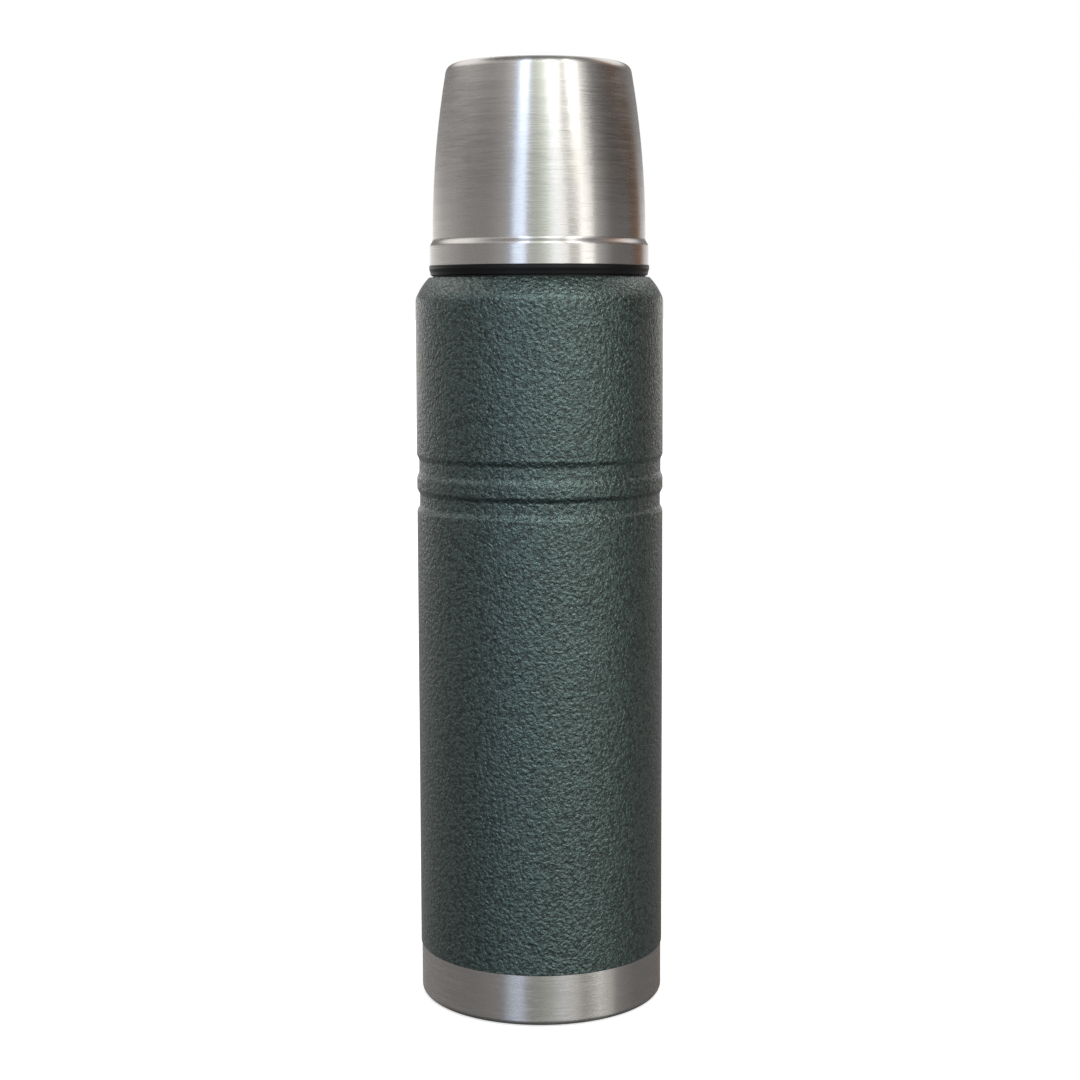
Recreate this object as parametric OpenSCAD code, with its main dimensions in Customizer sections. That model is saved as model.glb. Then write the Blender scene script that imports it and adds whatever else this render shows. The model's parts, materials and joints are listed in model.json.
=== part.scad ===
// Vacuum flask with a screw-on cup and a push-button pour-through stopper.
// The axis of the flask is the Z axis and the foot pad stands on z = 0.

/* [Barrel] */
// Outer diameter of the painted barrel
body_d = 85; // [78:0.5:102]
// Height above the table at which the barrel starts to round into the shoulder
barrel_top = 242; // [200:1:292]
// Sheet thickness of the outer shell
shell_wall = 0.6; // [0.4:0.05:0.8]
// Width of the vacuum gap between the two walls
vacuum_gap = 3.2; // [2.6:0.1:5]
// Sheet thickness of the inner vessel
vessel_wall = 0.45; // [0.35:0.05:0.6]

/* [Grooves] */
// Height of the lower edge of the lower rolled groove
groove_z = 170.4; // [120:0.1:175]
// Height of the lower groove
low_groove_h = 8.2; // [6:0.1:12]
// Depth of the lower groove
low_groove_depth = 0.9; // [0.4:0.05:1.2]
// Height of the rib between the grooves
rib_h = 3.3; // [2:0.1:8]
// Height of the upper groove
high_groove_h = 8.5; // [6:0.1:12]
// Depth of the upper groove
high_groove_depth = 0.75; // [0.4:0.05:1.2]
// Height over which a groove's wall runs in
groove_ease = 2.4; // [2:0.1:3]

/* [Base] */
// Height of the bare steel base band
base_h = 18.2; // [14:0.1:26]
// How far the base band lies inside the barrel's surface
base_step = 0.3; // [0.1:0.05:0.6]
// Sheet thickness of the base cup
base_wall = 0.5; // [0.4:0.05:0.7]
// Radius of the base cup's bottom edge
base_round = 2; // [1.5:0.1:4]
// Shadow gap between the base cup and the barrel
base_seam = 0.3; // [0.1:0.05:0.6]
// Width of the steel ring round the foot pad
foot_ring_w = 6.1; // [4:0.1:20]
// Thickness of the foot pad
pad_t = 2; // [1.5:0.1:3]
// Height of the base cup's rim above the table
rim_lift = 0.4; // [0.2:0.1:0.8]

/* [Shoulder and neck] */
// Radius of the bend from the barrel into the shoulder
bend_r = 6; // [4:0.5:8]
// Angle of that bend
bend_angle = 25; // [15:1:30]
// Radius of the shoulder's dome
dome_r = 22; // [18:0.5:26]
// Slope angle at the top of the dome
dome_angle = 43; // [38:1:50]
// Inner diameter of the mouth
mouth_d = 48; // [40:0.5:50]
// Width of the vacuum gap in the neck
neck_gap = 4.95; // [3:0.05:5.5]
// Height of the neck above the shoulder
neck_h = 15.8; // [15:0.1:18]

/* [Cup] */
// Height of the steel cup above the black ring
cup_h = 67.4; // [60:0.1:81]
// Height of the lower band
cup_band_h = 6.4; // [5:0.1:8]
// Height of the curved step above the band
cup_step_h = 2.5; // [2:0.1:4]
// Radial size of the step
cup_step = 1; // [0.6:0.05:1.2]
// Radius of the cup wall's long curve
cup_curve_r = 330; // [280:1:900]
// Radius of the cup's top edge
cup_round = 3; // [2:0.1:6]
// Sheet thickness of the cup
cup_wall = 0.5; // [0.4:0.05:0.6]
// Height of the black ring under the cup
ring_h = 3.6; // [3:0.1:5]
// How far the black ring stands out from the cup's lower band
ring_lip = 0.3; // [0.1:0.05:0.6]
// Gap between the black ring and the shoulder
ring_gap = 0.4; // [0.3:0.05:0.8]
// Wall thickness of the cup's liner
liner_wall = 1.2; // [1:0.1:1.4]
// Wall thickness of the liner outside its thread
liner_thread_wall = 0.9; // [0.8:0.05:1.5]
// Wall thickness of the collar on the neck, inside its thread
collar_wall = 3.15; // [2:0.05:4]

/* [Threads] */
// Rise of the cup in one turn
cup_lead = 8; // [7:0.5:9]
// Rise of the stopper in one turn
stopper_lead = 10; // [9:0.5:11]
// Radial height of a thread ridge
ridge_h = 1.1; // [1:0.05:1.3]
// Radial clearance between a crest and the root it runs along
thread_clear = 0.4; // [0.3:0.05:0.5]

/* [Stopper] */
// Depth of the stopper below the mouth
stopper_depth = 25.4; // [22:0.1:28]
// Wall thickness of the stopper's tube
stopper_wall = 2; // [1.6:0.1:2.2]
// Height of the stopper above its gasket
stopper_head_h = 18.65; // [18:0.05:19]
// How far the grip cap and the flange stand out from the turret between them
grip_overhang = 3.5; // [2.5:0.1:4.2]
// Width of the ring-shaped way for the drink round the insulated core
flow_gap = 5.5; // [3.5:0.1:7]
// Diameter of the push button
button_d = 22; // [18:0.1:27]
// Travel of the push button
button_travel = 3.5; // [3:0.1:3.6]
// Diameter of the valve opening
valve_bore_d = 18; // [15:0.1:22]
// Diameter of the valve stem
stem_d = 4.4; // [4:0.1:5]

/* [Hidden] */
$fn = 128;

// Steps in an arc or an eased curve, and segments in one turn of a thread
arc_steps = 10;
turn_steps = 36;

// Clearances: a pressed fit, a running fit, a seat, and a loose gap that never touches
press_gap = 0.05;
run_gap = 0.06;
seat_gap = 0.02;
free_gap = 0.3;

// Barrel and neck
body_r = body_d / 2;
mouth_r = mouth_d / 2;
neck_r = mouth_r + vessel_wall + neck_gap + shell_wall;
neck_fillet = 1.5;
edge_r = 1;

// Lower end of the shell, swaged in so that the base cup slides over it, and the pad's recess
base_r = body_r - base_step;
swage_r = base_r - base_wall - 0.1;
swage_z = 5;
recess_slope = 0.8;
recess_r = base_r - base_round - foot_ring_w - recess_slope;
pad_r = recess_r - free_gap;

// Outer bottom plate, with a boss where the flask was pumped out and sealed
plate_z = 10;
plate_round = 2;
boss_r = 10;
boss_h = 2;
seal_r = 3;
seal_h = 1.2;
getter_r = 9;
getter_h = 2.5;
getter_x = 24;

// Inner vessel
vessel_r = body_r - shell_wall - vacuum_gap;
vessel_z = 16;
vessel_round = 8;
vessel_seam_h = 2;
vessel_dome_r = 14;
vessel_dome_angle = 60;
vessel_fillet = 5;
vessel_drop = 18;
shield_t = 0.1;
shield_margin = 10;

// Points of an arc about centre c, from angle a to angle b, without the first ones when skip is 1
function arc(c, r, a, b, skip = 0) = [
    for (i = [skip : arc_steps])
        let (t = a + (b - a) * i / arc_steps)
        c + r * [cos(t), sin(t)]
];

// Points of an eased step from p to q, where both ends run along Z
function ease(p, q, skip = 0) = [
    for (i = [skip : arc_steps])
        let (t = i / arc_steps)
        [p[0] + (q[0] - p[0]) * (1 - cos(180 * t)) / 2, p[1] + (q[1] - p[1]) * t]
];

// A path moved sideways by t, to the left of its direction
function unit(v) = v / norm(v);
function miter(a, b) = [-a[1] - b[1], a[0] + b[0]] / (1 + a * b);
function moved(p, t) = [
    for (i = [0 : len(p) - 1])
        let (
            into = unit(i > 0 ? p[i] - p[i - 1] : p[1] - p[0]),
            away = unit(i < len(p) - 1 ? p[i + 1] - p[i] : into)
        )
        p[i] + t * miter(into, away)
];
function reversed(p) = [for (i = [len(p) - 1 : -1 : 0]) p[i]];

// Outline of a sheet of thickness t that follows a path
function sheet(p, t) = concat(p, reversed(moved(p, t)));

// One rolled groove of the barrel, from its lower edge upwards
function groove(z, h, depth) = concat(
    ease([body_r, z], [body_r - depth, z + groove_ease]),
    ease([body_r - depth, z + h - groove_ease], [body_r, z + h])
);

// Shoulder: a bend, a long dome and a small edge onto the flat that carries the cup
bend_c = [body_r - bend_r, barrel_top];
dome_c = bend_c - (dome_r - bend_r) * [cos(bend_angle), sin(bend_angle)];
edge_c = dome_c + (dome_r - edge_r) * [cos(dome_angle), sin(dome_angle)];
flat_z = edge_c[1] + edge_r;
shoulder = concat(
    arc(bend_c, bend_r, 0, bend_angle),
    arc(dome_c, dome_r, bend_angle, dome_angle, 1),
    arc(edge_c, edge_r, dome_angle, 90, 1)
);
mouth_z = flat_z + neck_h;

rib_z = groove_z + low_groove_h;
barrel = concat(
    [[swage_r, swage_z], [swage_r, base_h], [body_r, base_h]],
    groove(groove_z, low_groove_h, low_groove_depth),
    groove(rib_z + rib_h, high_groove_h, high_groove_depth)
);
neck = concat(
    arc([neck_r + neck_fillet, flat_z + neck_fillet], neck_fillet, 270, 180),
    [[neck_r, mouth_z]]
);

// Inner vessel's path, from the seam with its bottom up to the lip at the mouth
vessel_neck_r = mouth_r + vessel_wall;
vessel_dome_z = barrel_top - vessel_drop;
vessel_dome_c = [vessel_r - vessel_dome_r, vessel_dome_z];
vessel_dome_end = vessel_dome_c
    + vessel_dome_r * [cos(vessel_dome_angle), sin(vessel_dome_angle)];
fillet_r0 = vessel_neck_r + vessel_fillet * (1 - cos(vessel_dome_angle));
fillet_z0 = vessel_dome_end[1]
    + (vessel_dome_end[0] - fillet_r0) / tan(vessel_dome_angle);
fillet_c = [
    vessel_neck_r + vessel_fillet,
    fillet_z0 + vessel_fillet * sin(vessel_dome_angle)
];
vessel_seam_z = vessel_z + vessel_round + vessel_seam_h;
vessel = concat(
    [[vessel_r, vessel_seam_z]],
    arc(vessel_dome_c, vessel_dome_r, 0, vessel_dome_angle),
    arc(fillet_c, vessel_fillet, 180 + vessel_dome_angle, 180),
    [[vessel_neck_r, mouth_z], [neck_r, mouth_z]]
);
rim_z = mouth_z + vessel_wall;

// Cup: the black ring starts just above the shoulder and the steel starts on the ring
ring_z = flat_z + ring_gap;
cup_z = ring_z + ring_h;
cup_male_r = neck_r + press_gap + collar_wall;
cup_female_r = cup_male_r + ridge_h + thread_clear;
cup_r = cup_female_r + liner_thread_wall + free_gap + cup_wall + cup_step;
ring_r = cup_r + ring_lip;
cup_top = cup_z + cup_h;
cup_wall_z = cup_z + cup_band_h + cup_step_h;
cup_lean = asin((cup_top - cup_round - cup_wall_z) / (cup_curve_r - cup_round));
cup_curve_c = [cup_r - cup_step - cup_curve_r, cup_wall_z];
cup_round_c = cup_curve_c + (cup_curve_r - cup_round) * [cos(cup_lean), sin(cup_lean)];
cup_path = concat(
    [[cup_r, cup_z]],
    ease([cup_r, cup_z + cup_band_h], [cup_r - cup_step, cup_wall_z]),
    arc(cup_curve_c, cup_curve_r, 0, cup_lean, 1),
    arc(cup_round_c, cup_round, cup_lean, 90, 1),
    [[0, cup_top]]
);
ring_path = [
    [ring_r - 1, ring_z],
    [ring_r - 0.5, ring_z + 0.3],
    [ring_r - 0.35, ring_z + 1.2],
    [ring_r, ring_z + 2.3],
    [ring_r, cup_z - 0.2],
    [ring_r - 0.2, cup_z]
];

// Threads: the ridges of both pieces lie on the same helix, half a pitch apart
starts = 2;
ridge_root = 2.4;
ridge_crest = 1;
ridge_sink = 0.3;
fade_steps = 4;

cup_thread_z = cup_z + 2;
cup_thread_h = 9.5;
collar_foot_h = 2;
collar_drop = 0.3;
liner_thread_top = cup_thread_z + cup_thread_h + ridge_root / 2;

stopper_r = mouth_r - thread_clear - ridge_h;
stopper_thread_z = mouth_z - 18.5;
stopper_thread_h = 12;

// Gaskets
cup_gasket_in = cup_female_r + 0.5;
cup_gasket_out = ring_r - 1.3;
cup_gasket_t = 1.2;
cup_gasket_z = flat_z + seat_gap;
stopper_gasket_t = 1.5;
stopper_gasket_w = 5.5;

// Stopper, from its floor up to the top of the grip cap
stopper_bore_r = stopper_r - stopper_wall;
floor_z = mouth_z - stopper_depth;
floor_t = 2;
flange_z = rim_z + seat_gap + stopper_gasket_t + seat_gap;
flange_t = 2;
turret_r = stopper_r + 1;
grip_r = turret_r + grip_overhang;
turret_h = 7.6;
window_sill = 0.5;
window_h = 4.5;
window_w = 24;
turret_top = flange_z + flange_t + turret_h;
grip_top = flange_z + stopper_head_h;
grip_z = turret_top - 2;
grip_round = 1.5;
grip_plate_t = 1.4;
grip_flutes = 30;
flute_r = 1.6;
flute_depth = 0.6;

// Insulated core that hangs in the stopper and leaves a ring-shaped way for the drink
core_r = stopper_bore_r - flow_gap;
core_wall = 1.2;
core_z = floor_z + floor_t + 4;
tube_r = 5.2;
core_flange_t = 1.2;
plate_t = 1.2;
spring_plate_z = turret_top + core_flange_t;
spring_plate_top = spring_plate_z + plate_t;

// Valve stem and its running bore
stem_r = stem_d / 2;
stem_bore_r = stem_r + run_gap;
stem_ring_r = 0.75;
stem_ring_c = stem_r + run_gap + stem_ring_r;
stem_pocket_r = stem_ring_c + stem_ring_r + press_gap;
stem_pocket_h = 1.8;

// Button
button_r = button_d / 2;
button_top = grip_top + 1;
button_wall = 1.2;
button_flange_t = 1;
button_flange_w = 2;
button_flange_z = grip_top - grip_plate_t - 0.2 - button_flange_t;
button_boss_r = 4.5;
stop_gap = 0.35;
button_boss_z = spring_plate_top + button_travel + stop_gap;
stem_top = button_top - button_wall - 0.3;

// Valve
valve_bore_r = valve_bore_d / 2;
valve_seal_t = 1.2;
valve_disc_t = 1.5;
valve_disc_r = valve_bore_r + 2.5;
valve_seal_z = floor_z - seat_gap - valve_seal_t;
valve_disc_z = valve_seal_z - valve_disc_t;
nut_h = 1.5;
nut_w = 8;
nut_z = valve_disc_z - nut_h;

// Return spring
wire_r = 0.3;
spring_r = 7.5;
spring_turns = 4;
spring_steps = 14;
spring_sides = 6;

// A body swept through rings of points, each ring counter-clockwise in the radius and Z plane
module swept(rings) {
    n = len(rings[0]);
    last = len(rings) - 1;
    sides = [
        for (i = [0 : last - 1], k = [0 : n - 1])
            let (m = (k + 1) % n)
            [i * n + k, i * n + m, (i + 1) * n + m, (i + 1) * n + k]
    ];
    ends = [[for (k = [n - 1 : -1 : 0]) k], [for (k = [0 : n - 1]) last * n + k]];
    polyhedron([for (ring = rings) each ring], concat(sides, ends), convexity = 10);
}

// Thread ridges on a root cylinder of radius r, rising outwards when side is 1 and inwards when -1
module thread(r, side, z, h, lead) {
    steps = ceil(turn_steps * h / lead);
    for (s = [0 : starts - 1])
        rotate([0, 0, 360 * s / starts])
            swept([
                for (i = [0 : steps])
                    let (
                        turn = 360 * i / turn_steps,
                        up = z + lead * i / turn_steps,
                        tall = min(1, (min(i, steps - i) + 0.5) / fade_steps),
                        foot = r - side * ridge_sink,
                        crest = r + side * ridge_h * tall,
                        low = [[foot, -ridge_root / 2], [crest, -ridge_crest / 2]],
                        high = [[crest, ridge_crest / 2], [foot, ridge_root / 2]],
                        outline = concat(low, high)
                    )
                    [
                        for (p = side > 0 ? outline : reversed(outline))
                            [p[0] * cos(turn), p[0] * sin(turn), up + p[1]]
                    ]
            ]);
}

module ring(r_in, r_out, z, h) {
    translate([0, 0, z])
        difference() {
            cylinder(r = r_out, h = h);
            translate([0, 0, -1])
                cylinder(r = r_in, h = h + 2);
        }
}

module outer_shell() {
    color("darkslategray")
        rotate_extrude()
            polygon(sheet(concat(barrel, shoulder, neck), shell_wall));
}

module base_cup() {
    path = concat(
        [[base_r, base_h - base_seam]],
        arc([base_r - base_round, rim_lift + base_round], base_round, 0, -90),
        [[recess_r + recess_slope, rim_lift], [recess_r, pad_t], [0, pad_t]]
    );
    color("silver")
        rotate_extrude()
            polygon(sheet(path, -base_wall));
}

module base_pad() {
    tread_r = pad_r - 6;
    tread_w = 2;
    tread_h = 0.6;
    color("dimgray")
        difference() {
            cylinder(r = pad_r, h = pad_t);
            ring(tread_r - tread_w, tread_r, -1, 1 + tread_h);
        }
}

module outer_bottom() {
    path = concat(
        [[swage_r - shell_wall - press_gap, swage_z]],
        arc(
            [swage_r - shell_wall - press_gap - plate_round, plate_z - plate_round],
            plate_round, 0, 90
        ),
        [[boss_r + boss_h, plate_z], [boss_r, plate_z + boss_h], [0, plate_z + boss_h]]
    );
    color("silver")
        rotate_extrude()
            polygon(sheet(path, shell_wall));
}

module vacuum_seal() {
    color("darkgoldenrod")
        translate([0, 0, plate_z + boss_h - shell_wall - seal_h])
            cylinder(r = seal_r, h = seal_h);
}

module getter() {
    color("gray")
        translate([getter_x, 0, plate_z])
            cylinder(r = getter_r, h = getter_h);
}

module inner_vessel() {
    color("silver")
        union() {
            rotate_extrude()
                polygon(sheet(vessel, vessel_wall));
            thread(mouth_r, -1, stopper_thread_z, stopper_thread_h, stopper_lead);
        }
}

module inner_bottom() {
    path = concat(
        [[0, vessel_z]],
        arc([vessel_r - vessel_round, vessel_z + vessel_round], vessel_round, -90, 0),
        [[vessel_r, vessel_seam_z]]
    );
    color("silver")
        rotate_extrude()
            polygon(sheet(path, vessel_wall));
}

module copper_shield() {
    low = vessel_seam_z + shield_margin;
    color("chocolate")
        ring(
            vessel_r + press_gap, vessel_r + press_gap + shield_t,
            low, vessel_dome_z - shield_margin - low
        );
}

module neck_collar() {
    bore = neck_r + press_gap;
    top = mouth_z - collar_drop;
    foot_r = cup_male_r + ridge_h;
    chamfer = neck_fillet + 0.3;
    color("black")
        union() {
            rotate_extrude()
                polygon([
                    [bore + chamfer, flat_z],
                    [foot_r, flat_z],
                    [foot_r, flat_z + collar_foot_h],
                    [cup_male_r, flat_z + collar_foot_h],
                    [cup_male_r, top],
                    [bore, top],
                    [bore, flat_z + chamfer]
                ]);
            thread(
                cup_male_r, 1, cup_thread_z - cup_lead / starts / 2, cup_thread_h, cup_lead
            );
        }
}

module cup_gasket() {
    color("black")
        ring(cup_gasket_in, cup_gasket_out, cup_gasket_z, cup_gasket_t);
}

module cup_shell() {
    color("silver")
        rotate_extrude()
            polygon(sheet(cup_path, cup_wall));
}

module cup_liner() {
    skin = moved(cup_path, cup_wall + free_gap);
    core = moved(cup_path, cup_wall + free_gap + liner_wall);
    above = [for (p = core) if (p[1] > liner_thread_top + 1) p];
    outline = concat(
        ring_path,
        [[skin[0][0], cup_z]],
        [for (i = [1 : len(skin) - 1]) skin[i]],
        reversed(above),
        [[cup_female_r, liner_thread_top], [cup_female_r, ring_z]]
    );
    color("black")
        union() {
            difference() {
                rotate_extrude()
                    polygon(outline);
                ring(
                    cup_gasket_in - seat_gap, cup_gasket_out + seat_gap,
                    ring_z - 1, cup_gasket_z + cup_gasket_t + seat_gap - ring_z + 1
                );
            }
            thread(cup_female_r, -1, cup_thread_z, cup_thread_h, cup_lead);
        }
}

module stopper_gasket() {
    color("dimgray")
        ring(
            stopper_r + press_gap, stopper_r + press_gap + stopper_gasket_w,
            rim_z + seat_gap, stopper_gasket_t
        );
}

module stopper_body() {
    color("black")
        union() {
            difference() {
                rotate_extrude()
                    polygon([
                        [valve_bore_r, floor_z],
                        [stopper_r, floor_z],
                        [stopper_r, flange_z],
                        [grip_r, flange_z],
                        [grip_r, flange_z + flange_t],
                        [turret_r, flange_z + flange_t],
                        [turret_r, turret_top],
                        [stopper_bore_r, turret_top],
                        [stopper_bore_r, floor_z + floor_t],
                        [valve_bore_r, floor_z + floor_t]
                    ]);
                translate([-grip_r, -window_w / 2, flange_z + flange_t + window_sill])
                    cube([2 * grip_r, window_w, window_h]);
            }
            thread(
                stopper_r, 1, stopper_thread_z - stopper_lead / starts / 2,
                stopper_thread_h, stopper_lead
            );
        }
}

module stopper_core() {
    color("black")
        rotate_extrude()
            polygon([
                [stem_pocket_r, core_z],
                [core_r, core_z],
                [core_r, turret_top],
                [turret_r, turret_top],
                [turret_r, turret_top + core_flange_t],
                [core_r - core_wall, turret_top + core_flange_t],
                [core_r - core_wall, core_z + core_wall],
                [tube_r, core_z + core_wall],
                [tube_r, turret_top + core_flange_t],
                [stem_bore_r, turret_top + core_flange_t],
                [stem_bore_r, core_z + stem_pocket_h],
                [stem_pocket_r, core_z + stem_pocket_h]
            ]);
}

module core_foam() {
    bottom = core_z + core_wall;
    color("wheat")
        ring(
            tube_r + press_gap, core_r - core_wall - press_gap,
            bottom, spring_plate_z - bottom - free_gap
        );
}

module spring_plate() {
    color("black")
        ring(stem_bore_r, turret_r, spring_plate_z, plate_t);
}

module stopper_cap() {
    bore = turret_r + press_gap;
    hole = button_r + free_gap;
    color("black")
        difference() {
            rotate_extrude()
                polygon(concat(
                    [[bore, grip_z], [grip_r, grip_z]],
                    arc([grip_r - grip_round, grip_top - grip_round], grip_round, 0, 90),
                    [
                        [hole, grip_top],
                        [hole, grip_top - grip_plate_t],
                        [bore, grip_top - grip_plate_t]
                    ]
                ));
            for (i = [0 : grip_flutes - 1])
                rotate([0, 0, 360 * (i + 0.5) / grip_flutes])
                    translate([grip_r + flute_r - flute_depth, 0, grip_z - 1])
                        cylinder(r = flute_r, h = grip_top - grip_z - grip_round);
        }
}

module stem_seal() {
    color("dimgray")
        translate([0, 0, core_z + stem_pocket_h / 2])
            rotate_extrude()
                translate([stem_ring_c, 0])
                    circle(r = stem_ring_r, $fn = 32);
}

module button_spring() {
    low = spring_plate_top + wire_r + seat_gap;
    rise = button_top - button_wall - spring_plate_top - 2 * (wire_r + seat_gap);
    steps = spring_turns * spring_steps;
    color("silver")
        swept([
            for (i = [0 : steps])
                let (turn = 360 * i / spring_steps, up = low + rise * i / steps)
                [
                    for (k = [0 : spring_sides - 1])
                        let (
                            a = 360 * k / spring_sides,
                            r = spring_r + wire_r * cos(a)
                        )
                        [r * cos(turn), r * sin(turn), up + wire_r * sin(a)]
                ]
        ]);
}

module pour_button() {
    inner = button_r - button_wall;
    flange = button_r + button_flange_w;
    under = button_top - button_wall;
    hole = stem_r + press_gap;
    color("dimgray")
        rotate_extrude()
            polygon([
                [inner, button_flange_z],
                [flange, button_flange_z],
                [flange, button_flange_z + button_flange_t],
                [button_r, button_flange_z + button_flange_t],
                [button_r, button_top - 0.8],
                [button_r - 0.8, button_top],
                [0, button_top],
                [0, stem_top],
                [hole, stem_top],
                [hole, button_boss_z],
                [button_boss_r, button_boss_z],
                [button_boss_r, under],
                [inner, under]
            ]);
}

module valve_stem() {
    color("silver")
        translate([0, 0, nut_z])
            cylinder(r = stem_r, h = stem_top - nut_z);
}

module valve_disc() {
    color("black")
        ring(stem_r + press_gap, valve_disc_r, valve_disc_z, valve_disc_t);
}

module valve_seal() {
    color("dimgray")
        ring(stem_r + press_gap, valve_disc_r - 0.5, valve_seal_z, valve_seal_t);
}

module valve_nut() {
    color("silver")
        translate([0, 0, nut_z])
            difference() {
                cylinder(r = nut_w / 2 / cos(30), h = nut_h, $fn = 6);
                translate([0, 0, -1])
                    cylinder(r = stem_r + press_gap, h = nut_h + 2);
            }
}

outer_shell();
base_cup();
base_pad();
outer_bottom();
vacuum_seal();
getter();
inner_vessel();
inner_bottom();
copper_shield();
neck_collar();
cup_gasket();
cup_shell();
cup_liner();
stopper_gasket();
stopper_body();
stopper_core();
core_foam();
spring_plate();
stopper_cap();
stem_seal();
button_spring();
pour_button();
valve_stem();
valve_disc();
valve_seal();
valve_nut();
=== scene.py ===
"""Looks for a packed vacuum flask: brushed steel cup and base, black ring, hammertone barrel."""

import json
import math

import bmesh
import bpy
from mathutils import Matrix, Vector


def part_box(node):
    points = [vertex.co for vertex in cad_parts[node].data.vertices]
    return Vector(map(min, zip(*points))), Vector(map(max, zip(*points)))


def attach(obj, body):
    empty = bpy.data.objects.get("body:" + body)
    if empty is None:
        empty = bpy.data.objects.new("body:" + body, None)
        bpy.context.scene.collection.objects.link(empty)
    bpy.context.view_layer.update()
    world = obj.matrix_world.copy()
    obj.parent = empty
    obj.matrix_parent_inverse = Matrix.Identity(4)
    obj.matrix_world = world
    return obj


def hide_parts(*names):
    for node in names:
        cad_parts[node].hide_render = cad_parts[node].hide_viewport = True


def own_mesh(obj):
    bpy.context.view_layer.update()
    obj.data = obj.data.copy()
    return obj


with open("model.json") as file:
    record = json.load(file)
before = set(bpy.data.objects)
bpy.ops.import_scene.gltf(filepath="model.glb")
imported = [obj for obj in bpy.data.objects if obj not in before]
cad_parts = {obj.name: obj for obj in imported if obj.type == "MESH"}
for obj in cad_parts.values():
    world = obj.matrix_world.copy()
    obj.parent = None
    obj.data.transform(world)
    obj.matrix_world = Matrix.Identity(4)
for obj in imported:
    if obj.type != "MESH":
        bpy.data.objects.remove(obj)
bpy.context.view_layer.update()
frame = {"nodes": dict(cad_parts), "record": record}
nodes = frame["nodes"]
scene = bpy.context.scene

MM = 0.001

# Camera: level with the top of the barrel, looking slightly down
CAMERA_DISTANCE = 688 * MM
CAMERA_HEIGHT = 241.5 * MM
CAMERA_PITCH = math.radians(5.95)
CAMERA_ROLL = math.radians(-0.19)
CAMERA_LENS = 66.35
CAMERA_SHIFT = -0.0266
SENSOR_WIDTH = 36

# Return spring: turns of round wire, and how finely its helix is cut; the end turns lie close
SPRING_TURNS = 4
SPRING_WIRE = 0.3 * MM
SPRING_STEPS = 40
SPRING_SIDES = 12
SPRING_END_TURNS = 0.5
SPRING_END_PITCH = 0.3
SPRING_TIP = 0.6

# Studio: soft upright bands of light all round, by azimuth in degrees from the camera's side,
# positive to the right; each stop is (azimuth, radiance, tint)
WARM = (1.0, 0.97, 0.95)
BLUE = (0.72, 0.82, 1.0)
PALE = (0.90, 0.95, 1.0)
CREAM = (1.0, 0.99, 0.94)
GREEN = (0.94, 1.0, 0.90)
BROWN = (1.0, 0.5, 0.24)
BANDS = [
    (-180, 0.28, WARM), (-145, 0.32, WARM), (-110, 0.25, WARM), (-82, 0.16, WARM),
    (-56, 0.17, WARM), (-36, 0.28, WARM), (-30, 0.4, BLUE), (-27, 1.2, BLUE), (-16, 1.2, BLUE),
    (-13, 0.33, CREAM), (-3, 0.38, GREEN), (7, 0.55, GREEN), (12, 0.7, GREEN), (16, 1.0, PALE),
    (30, 1.0, CREAM), (33, 0.36, CREAM), (42, 0.3, CREAM), (46, 1.35, CREAM), (58, 1.35, CREAM),
    (62, 0.4, WARM), (72, 0.25, WARM), (84, 0.09, WARM), (114, 0.065, WARM), (122, 0.065, BROWN),
    (136, 0.10, BROWN), (146, 0.26, WARM), (180, 0.29, WARM),
]
BAND_TOP = 1.7
# The bands lean outward below the horizon, and by height, the Z of a direction, they are brighter at
# the horizon and up high, fade into the light of a floor, and end at the ceiling and in a deep shade
LEAN = 0.5
HIGH_FROM, HIGH_TO = 0.3, 0.5
HIGH_LEVEL, LOW_LEVEL = 4.5, 0.92
HORIZON_RISE = (-0.12, -0.04)
HORIZON_FALL = (0.04, 0.09)
HORIZON_BOOST = 3.0
FADE_FROM, FADE_SHARE = -0.13, 0.84
FADE_BACK = (-0.3, -0.2)
FADE_BACK_SHARE = 0.38
RIGHT_FROM, RIGHT_TO = 34, 44
RIGHT_HEIGHT = (-0.26, -0.18)
RIGHT_FADE, RIGHT_SHARE = -0.1, 0.35
SHADE_HEIGHT = (-0.75, -0.38)
CEILING_HEIGHT = (0.7, 0.86)
FLOOR_LIGHT = (0.27, 0.265, 0.26)
SHADE_LIGHT = (0.08, 0.08, 0.08)
CEILING_LIGHT = (0.2, 0.2, 0.19)


def new_node(tree, kind, inputs=None, **settings):
    """Add a shader node; an input is a value, or a socket to link from."""
    node = tree.nodes.new("ShaderNode" + kind)
    for key, value in settings.items():
        setattr(node, key, value)
    for key, value in (inputs or {}).items():
        if isinstance(value, bpy.types.NodeSocket):
            tree.links.new(value, node.inputs[key])
        else:
            node.inputs[key].default_value = value
    return node


def add_camera():
    data = bpy.data.cameras.new("camera")
    data.sensor_width = SENSOR_WIDTH
    data.lens = CAMERA_LENS
    data.shift_y = CAMERA_SHIFT
    camera = bpy.data.objects.new("camera", data)
    camera.location = (0, -CAMERA_DISTANCE, CAMERA_HEIGHT)
    camera.rotation_euler = (math.pi / 2 - CAMERA_PITCH, 0, 0)
    camera.rotation_euler.rotate_axis("Z", CAMERA_ROLL)
    scene.collection.objects.link(camera)
    scene.camera = camera


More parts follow.
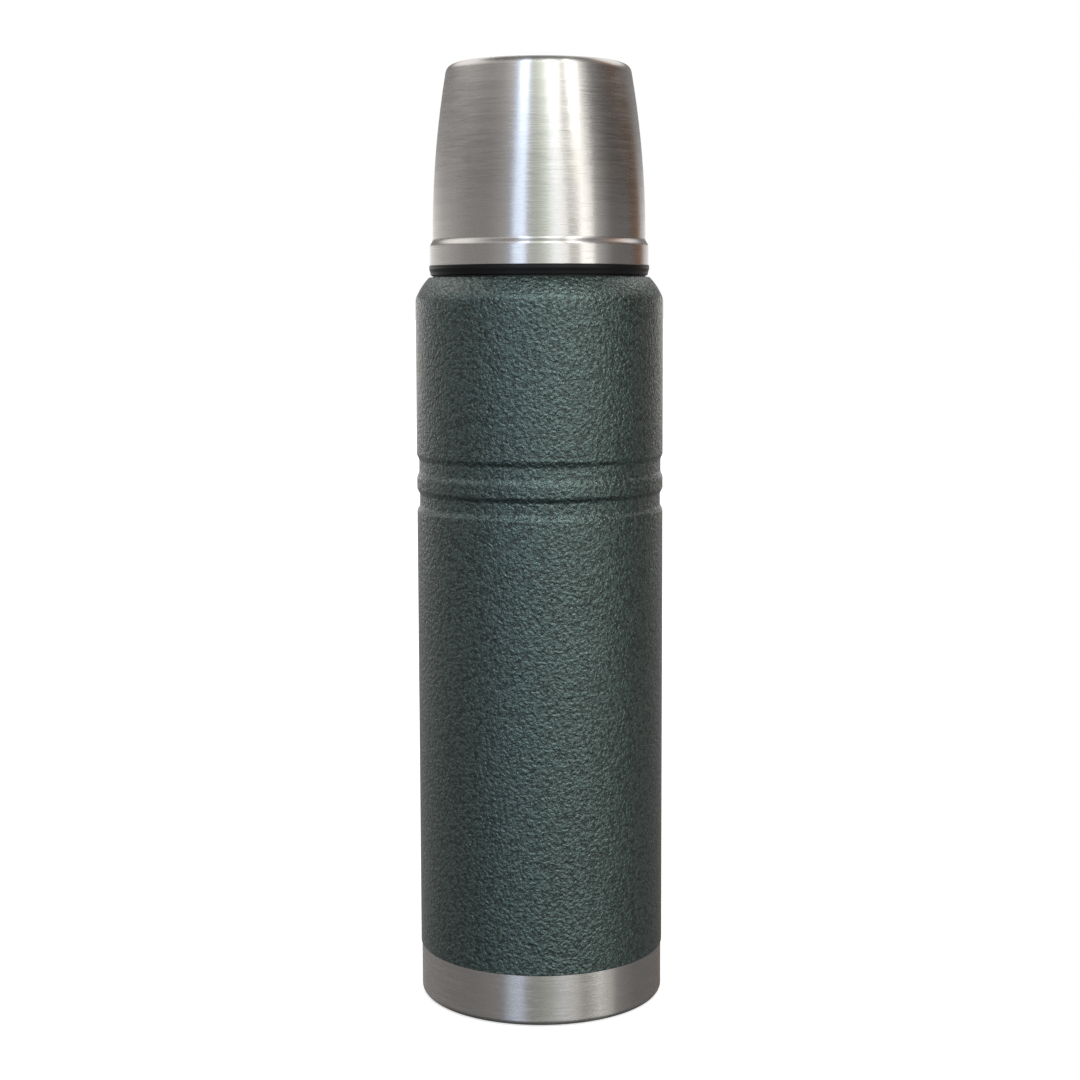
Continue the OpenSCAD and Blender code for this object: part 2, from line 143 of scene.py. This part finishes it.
def add_world():
    """Plain white to the camera, soft bands of light to everything else."""
    world = bpy.data.worlds.new("studio")
    scene.world = world
    world.use_nodes = True
    tree = world.node_tree
    tree.nodes.clear()

    def add(kind, inputs=None, **settings):
        return new_node(tree, kind, inputs, **settings)

    def math_of(operation, a, b):
        return add("Math", {0: a, 1: b}, operation=operation).outputs[0]

    def span(value, low, high, to_low=0.0, to_high=1.0, kind="SMOOTHSTEP"):
        inputs = {"Value": value, "From Min": low, "From Max": high, "To Min": to_low, "To Max": to_high}
        return add("MapRange", inputs, interpolation_type=kind).outputs[0]

    x, y, z = add("SeparateXYZ", {0: add("TexCoord").outputs["Generated"]}).outputs
    azimuth = math_of("ARCTAN2", x, math_of("MULTIPLY", y, -1.0))
    azimuth = math_of("MULTIPLY", azimuth, span(z, -0.5, 0.5, 1 - LEAN / 2, 1 + LEAN / 2, "LINEAR"))
    ramp = add("ValToRGB", {0: span(azimuth, -math.pi, math.pi, kind="LINEAR")})
    stops = ramp.color_ramp.elements
    for i, (degrees, radiance, tint) in enumerate(BANDS):
        spot = (degrees + 180) / 360
        stop = stops[0] if i == 0 else stops[-1] if i == len(BANDS) - 1 else stops.new(spot)
        stop.position = spot
        stop.color = (*(radiance / BAND_TOP * c for c in tint), 1)

    upper = span(z, HIGH_FROM, HIGH_TO, LOW_LEVEL * BAND_TOP, HIGH_LEVEL * BAND_TOP)
    horizon = span(z, *HORIZON_RISE, 0.0, HORIZON_BOOST)
    horizon = math_of("MULTIPLY", horizon, span(z, *HORIZON_FALL, 1.0, 0.0))
    strength = math_of("MULTIPLY", upper, math_of("ADD", horizon, 1.0))
    bands = add("Background", {"Color": ramp.outputs[0], "Strength": strength})

    down = span(z, FADE_FROM, 0.0, FADE_SHARE, 0.0)
    fade = math_of("SUBTRACT", down, span(z, *FADE_BACK, FADE_BACK_SHARE, 0.0))
    side = span(azimuth, math.radians(RIGHT_FROM), math.radians(RIGHT_TO))
    right = math_of("MULTIPLY", side, span(z, *RIGHT_HEIGHT))
    right = math_of("MULTIPLY", right, span(z, RIGHT_FADE, 0.0, RIGHT_SHARE, 0.0))
    fade = math_of("ADD", fade, right)

    floor_light = add("Background", {"Color": (*FLOOR_LIGHT, 1)}).outputs[0]
    shade_light = add("Background", {"Color": (*SHADE_LIGHT, 1)}).outputs[0]
    ceiling_light = add("Background", {"Color": (*CEILING_LIGHT, 1)}).outputs[0]
    low = add("MixShader", {0: fade, 1: bands.outputs[0], 2: floor_light}).outputs[0]
    deep = add("MixShader", {0: span(z, *SHADE_HEIGHT, 1.0, 0.0), 1: low, 2: shade_light}).outputs[0]
    light = add("MixShader", {0: span(z, *CEILING_HEIGHT), 1: deep, 2: ceiling_light}).outputs[0]
    seen = add("Background", {"Color": (1, 1, 1, 1)}).outputs[0]
    path = add("LightPath").outputs["Is Camera Ray"]
    mix = add("MixShader", {0: path, 1: light, 2: seen})
    add("OutputWorld", {"Surface": mix.outputs[0]})


class Shader:
    """A node tree that grows round one Principled shader."""

    def __init__(self, name, **constants):
        self.material = bpy.data.materials.new(name)
        self.material.use_nodes = True
        self.tree = self.material.node_tree
        self.main = self.tree.nodes["Principled BSDF"]
        for key, value in constants.items():
            self.main.inputs[key.replace("_", " ")].default_value = value

    def add(self, kind, inputs=None, **settings):
        return new_node(self.tree, kind, inputs, **settings)

    def place(self, scale=(1, 1, 1)):
        coords = self.add("TexCoord")
        return self.add("Mapping", {"Vector": coords.outputs["Object"], "Scale": scale}).outputs[0]

    def noise(self, vector, scale, detail=2.0, roughness=0.5, distortion=0.0):
        node = self.add("TexNoise", {
            "Vector": vector, "Scale": scale, "Detail": detail, "Roughness": roughness,
            "Distortion": distortion,
        })
        return node.outputs["Fac"]

    def voronoi(self, vector, scale, feature="F1", output="Distance"):
        node = self.add("TexVoronoi", {"Vector": vector, "Scale": scale}, feature=feature)
        return node.outputs[output]

    def math(self, operation, a, b=0.0):
        return self.add("Math", {0: a, 1: b}, operation=operation).outputs[0]

    def span(self, value, low, high, to_low=0.0, to_high=1.0, smooth=True):
        kind = "SMOOTHSTEP" if smooth else "LINEAR"
        node = self.add("MapRange", {
            "Value": value, "From Min": low, "From Max": high, "To Min": to_low, "To Max": to_high,
        }, interpolation_type=kind)
        return node.outputs[0]

    def blend(self, factor, a, b):
        node = self.add("Mix", data_type="RGBA")
        for socket, value in ((0, factor), (6, a), (7, b)):
            if isinstance(value, bpy.types.NodeSocket):
                self.tree.links.new(value, node.inputs[socket])
            else:
                node.inputs[socket].default_value = value
        return node.outputs[2]

    def bump(self, height, distance):
        return self.add("Bump", {"Height": height, "Distance": distance, "Strength": 1.0}).outputs[0]

    def wire(self, **sockets):
        for key, value in sockets.items():
            self.tree.links.new(value, self.main.inputs[key.replace("_", " ")])
        return self.material


def colour(r, g, b):
    """A shader colour from linear red, green and blue."""
    return (r, g, b, 1)


def brushed_steel(name, tint=(0.61, 0.595, 0.58)):
    """Stainless steel brushed round the flask, in rings on flat faces; highlights spread across it."""
    hair_scale = (90, 90, 2200)
    streak_scale = (22, 22, 500)
    depth = 0.000003
    s = Shader(name, Metallic=1.0, Anisotropic=0.9, Anisotropic_Rotation=0.25)
    x, y, z = s.add("SeparateXYZ", {0: s.place()}).outputs
    flat = s.add("CombineXYZ", {0: x, 1: y}).outputs[0]
    reach = s.add("VectorMath", {0: flat}, operation="LENGTH").outputs["Value"]
    profile = s.add("CombineXYZ", {0: x, 1: y, 2: s.math("ADD", z, reach)}).outputs[0]
    fine = s.add("VectorMath", {0: profile, 1: hair_scale}, operation="MULTIPLY").outputs[0]
    coarse = s.add("VectorMath", {0: profile, 1: streak_scale}, operation="MULTIPLY").outputs[0]
    hair = s.noise(fine, 1.0, detail=4, roughness=0.75)
    streak = s.noise(coarse, 1.0, detail=2)
    lines = s.math("ADD", s.math("MULTIPLY", hair, 0.85), s.math("MULTIPLY", streak, 0.15))
    shade = s.span(lines, 0.3, 0.7, smooth=False)
    dark = colour(*(0.9 * c for c in tint))
    light = colour(*(1.05 * c for c in tint))
    tangent = s.add("Tangent", direction_type="RADIAL", axis="Z")
    return s.wire(
        Base_Color=s.blend(shade, dark, light),
        Roughness=s.span(lines, 0.3, 0.7, 0.19, 0.31, smooth=False),
        Normal=s.bump(lines, depth),
        Tangent=tangent.outputs[0],
    )


def hammertone(name):
    """Dark green metallic hammer finish under a clear coat: fine relief and small pits, with painted
    shade darkening the crevices and the pits.
    """
    warp_scale, warp_reach = 560, 0.0014
    pebble_scale, wave_scale, grain_scale, pit_scale = 760, 1050, 2200, 230
    depth = 0.00045
    crest_dark, crest_light = colour(0.056, 0.092, 0.086), colour(0.088, 0.137, 0.128)
    # The crevice and pit colours are painted shade for the hollows of the relief
    crevice_shade_colour, pit_shade_colour = colour(0.012, 0.019, 0.018), colour(0.004, 0.006, 0.006)
    s = Shader(name, Metallic=0.8, Coat_Weight=0.6, Coat_Roughness=0.12, Coat_IOR=1.6)
    warp = s.add("TexNoise", {"Vector": s.place(), "Scale": warp_scale, "Detail": 1.0}).outputs["Color"]
    shift = s.add("VectorMath", {0: warp, 3: warp_reach}, operation="SCALE").outputs[0]
    spot = s.add("VectorMath", {0: s.place(), 1: shift}, operation="ADD").outputs[0]
    pebble = s.span(s.voronoi(spot, pebble_scale, feature="SMOOTH_F1"), 0.1, 0.62, 1.0, 0.0)
    wave = s.noise(s.place(), wave_scale, detail=2.0, roughness=0.6, distortion=0.5)
    relief = s.math("ADD", s.math("MULTIPLY", pebble, 0.35), s.math("MULTIPLY", wave, 0.9))
    grain = s.noise(s.place(), grain_scale, detail=1)
    pit = s.span(s.voronoi(s.place(), pit_scale), 0.06, 0.13, 1.0, 0.0)
    # Painted shade: the colour darkens where the relief is low
    crevice_shade = s.span(relief, 0.36, 0.62, 1.0, 0.0)
    body = s.blend(s.span(grain, 0.35, 0.65), crest_dark, crest_light)
    body = s.blend(s.math("MULTIPLY", crevice_shade, 0.75), body, crevice_shade_colour)
    # Painted shade in the pits, which the bump also sinks
    body = s.blend(s.math("MULTIPLY", pit, 0.8), body, pit_shade_colour)
    height = s.math("SUBTRACT", relief, s.math("MULTIPLY", pit, 0.2))
    normal = s.bump(height, depth)
    return s.wire(
        Base_Color=body,
        Roughness=s.span(grain, 0.3, 0.7, 0.24, 0.36),
        Normal=normal,
        Coat_Normal=normal,
    )


def moulded(name, base, roughness=0.42, grain=0.000006, scale=2500, specular=0.5):
    """Moulded plastic or rubber with a fine satin grain."""
    s = Shader(name, Specular_IOR_Level=specular)
    spot = s.place()
    fine = s.noise(spot, scale, detail=2)
    broad = s.noise(spot, 60, detail=2)
    low = colour(*(0.8 * c for c in base))
    high = colour(*(1.25 * c for c in base))
    return s.wire(
        Base_Color=s.blend(s.span(broad, 0.3, 0.7), low, high),
        Roughness=s.span(fine, 0.3, 0.7, roughness - 0.06, roughness + 0.06),
        Normal=s.bump(fine, grain),
    )


def sheet_metal(name, tint, roughness=0.3):
    """Rolled or drawn sheet: faint streaks along the axis and a cloudy sheen."""
    grain_scale = (900, 900, 40)
    depth = 0.000003
    s = Shader(name, Metallic=1.0)
    grain = s.noise(s.place(grain_scale), 1.0, detail=3, roughness=0.6)
    cloud = s.noise(s.place(), 35, detail=3)
    dark = colour(*(0.85 * c for c in tint))
    return s.wire(
        Base_Color=s.blend(s.span(cloud, 0.3, 0.7), dark, colour(*tint)),
        Roughness=s.span(grain, 0.3, 0.7, roughness - 0.08, roughness + 0.1),
        Normal=s.bump(grain, depth),
    )


def foam(name):
    """Expanded foam: pale beads with small hollows, the colour darkened in the hollows as painted shade.
    """
    s = Shader(name, Roughness=0.9)
    cells = s.voronoi(s.place(), 900)
    # Painted shade: the bead colour is darker in the hollows of the bump
    return s.wire(
        Base_Color=s.blend(s.span(cells, 0.1, 0.6), colour(0.72, 0.66, 0.5), colour(0.88, 0.84, 0.72)),
        Normal=s.bump(cells, 0.0002),
    )


MATERIALS = {
    "hammertone": hammertone("hammertone"),
    "brushed_steel": brushed_steel("brushed_steel"),
    "vessel_steel": sheet_metal("vessel_steel", (0.62, 0.61, 0.60)),
    "foot_silicone": moulded("foot_silicone", (0.03, 0.03, 0.03), 0.6, 0.00001),
    "seal_glass": moulded("seal_glass", (0.35, 0.26, 0.12), 0.2),
    "getter_grey": moulded("getter_grey", (0.2, 0.2, 0.2), 0.7, 0.00003, 1200),
    "copper_foil": sheet_metal("copper_foil", (0.75, 0.38, 0.22), 0.22),
    "black_plastic": moulded("black_plastic", (0.006, 0.006, 0.007), 0.36, specular=0.22),
    "button_plastic": moulded("button_plastic", (0.06, 0.06, 0.062), 0.42),
    "seal_silicone": moulded("seal_silicone", (0.1, 0.1, 0.1), 0.55),
    "black_rubber": moulded("black_rubber", (0.01, 0.01, 0.01), 0.55),
    "foam": foam("foam"),
    "spring_steel": sheet_metal("spring_steel", (0.6, 0.6, 0.6), 0.2),
}


def paint_nodes():
    """Give every CAD node the material of its slot in the record."""
    slots = {row["node"]: row["material_slot"] for row in frame["record"]["subparts"]}
    for name, node in nodes.items():
        node.data.materials.clear()
        node.data.materials.append(MATERIALS[slots[name]])


def spring_pitch(turn):
    """Share of the full pitch at a place counted in turns: small at the ends, then rising."""
    from_end = min(turn, SPRING_TURNS - turn)
    opening = (from_end - SPRING_END_TURNS) / SPRING_END_TURNS
    return SPRING_END_PITCH + (1 - SPRING_END_PITCH) * min(1, max(0, opening))


def add_spring():
    """The button's return spring in round wire with closed ends."""
    low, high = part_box("button_spring")
    radius = (high[0] - low[0]) / 2 - SPRING_WIRE
    turns = [i / SPRING_STEPS for i in range(SPRING_TURNS * SPRING_STEPS + 1)]
    pitches = [spring_pitch(t) for t in turns]
    rise = high[2] - low[2] - 2 * SPRING_WIRE
    form = bmesh.new()
    rings = []
    for i, t in enumerate(turns):
        turn = 2 * math.pi * t
        up = low[2] + SPRING_WIRE + rise * sum(pitches[:i]) / sum(pitches[:-1])
        taper = SPRING_TIP if i in (0, len(turns) - 1) else 1.0
        ring = []
        for k in range(SPRING_SIDES):
            a = 2 * math.pi * k / SPRING_SIDES
            r = radius + taper * SPRING_WIRE * math.cos(a)
            spot = (r * math.cos(turn), r * math.sin(turn), up + taper * SPRING_WIRE * math.sin(a))
            ring.append(form.verts.new(spot))
        rings.append(ring)
    for a, b in zip(rings, rings[1:]):
        for k in range(SPRING_SIDES):
            n = (k + 1) % SPRING_SIDES
            form.faces.new((a[k], b[k], b[n], a[n]))
    form.faces.new(rings[0])
    form.faces.new(reversed(rings[-1]))
    bmesh.ops.recalc_face_normals(form, faces=form.faces)
    for face in form.faces:
        face.smooth = len(face.verts) == 4

    mesh = bpy.data.meshes.new("return_spring")
    form.to_mesh(mesh)
    form.free()
    mesh.materials.append(MATERIALS["spring_steel"])
    spring = bpy.data.objects.new("return_spring", mesh)
    scene.collection.objects.link(spring)
    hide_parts("button_spring")
    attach(spring, "stopper")
    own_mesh(spring)


def add_floor():
    """A pale floor that the flask stands on; it is left out of reflections, which the world lights."""
    bpy.ops.mesh.primitive_plane_add(size=60)
    floor = bpy.context.object
    floor.name = "floor"
    floor.visible_glossy = False
    floor.visible_diffuse = False
    floor.visible_shadow = False
    s = Shader("floor", Roughness=0.8, Emission_Strength=0.6)
    s.main.inputs["Emission Color"].default_value = (1, 1, 1, 1)
    cloud = s.noise(s.place(), 6, detail=2)
    floor.data.materials.append(
        s.wire(Base_Color=s.blend(cloud, colour(0.86, 0.86, 0.86), colour(0.9, 0.9, 0.9)))
    )


scene.view_settings.view_transform = "Standard"
add_camera()
add_world()
add_floor()
paint_nodes()
add_spring()
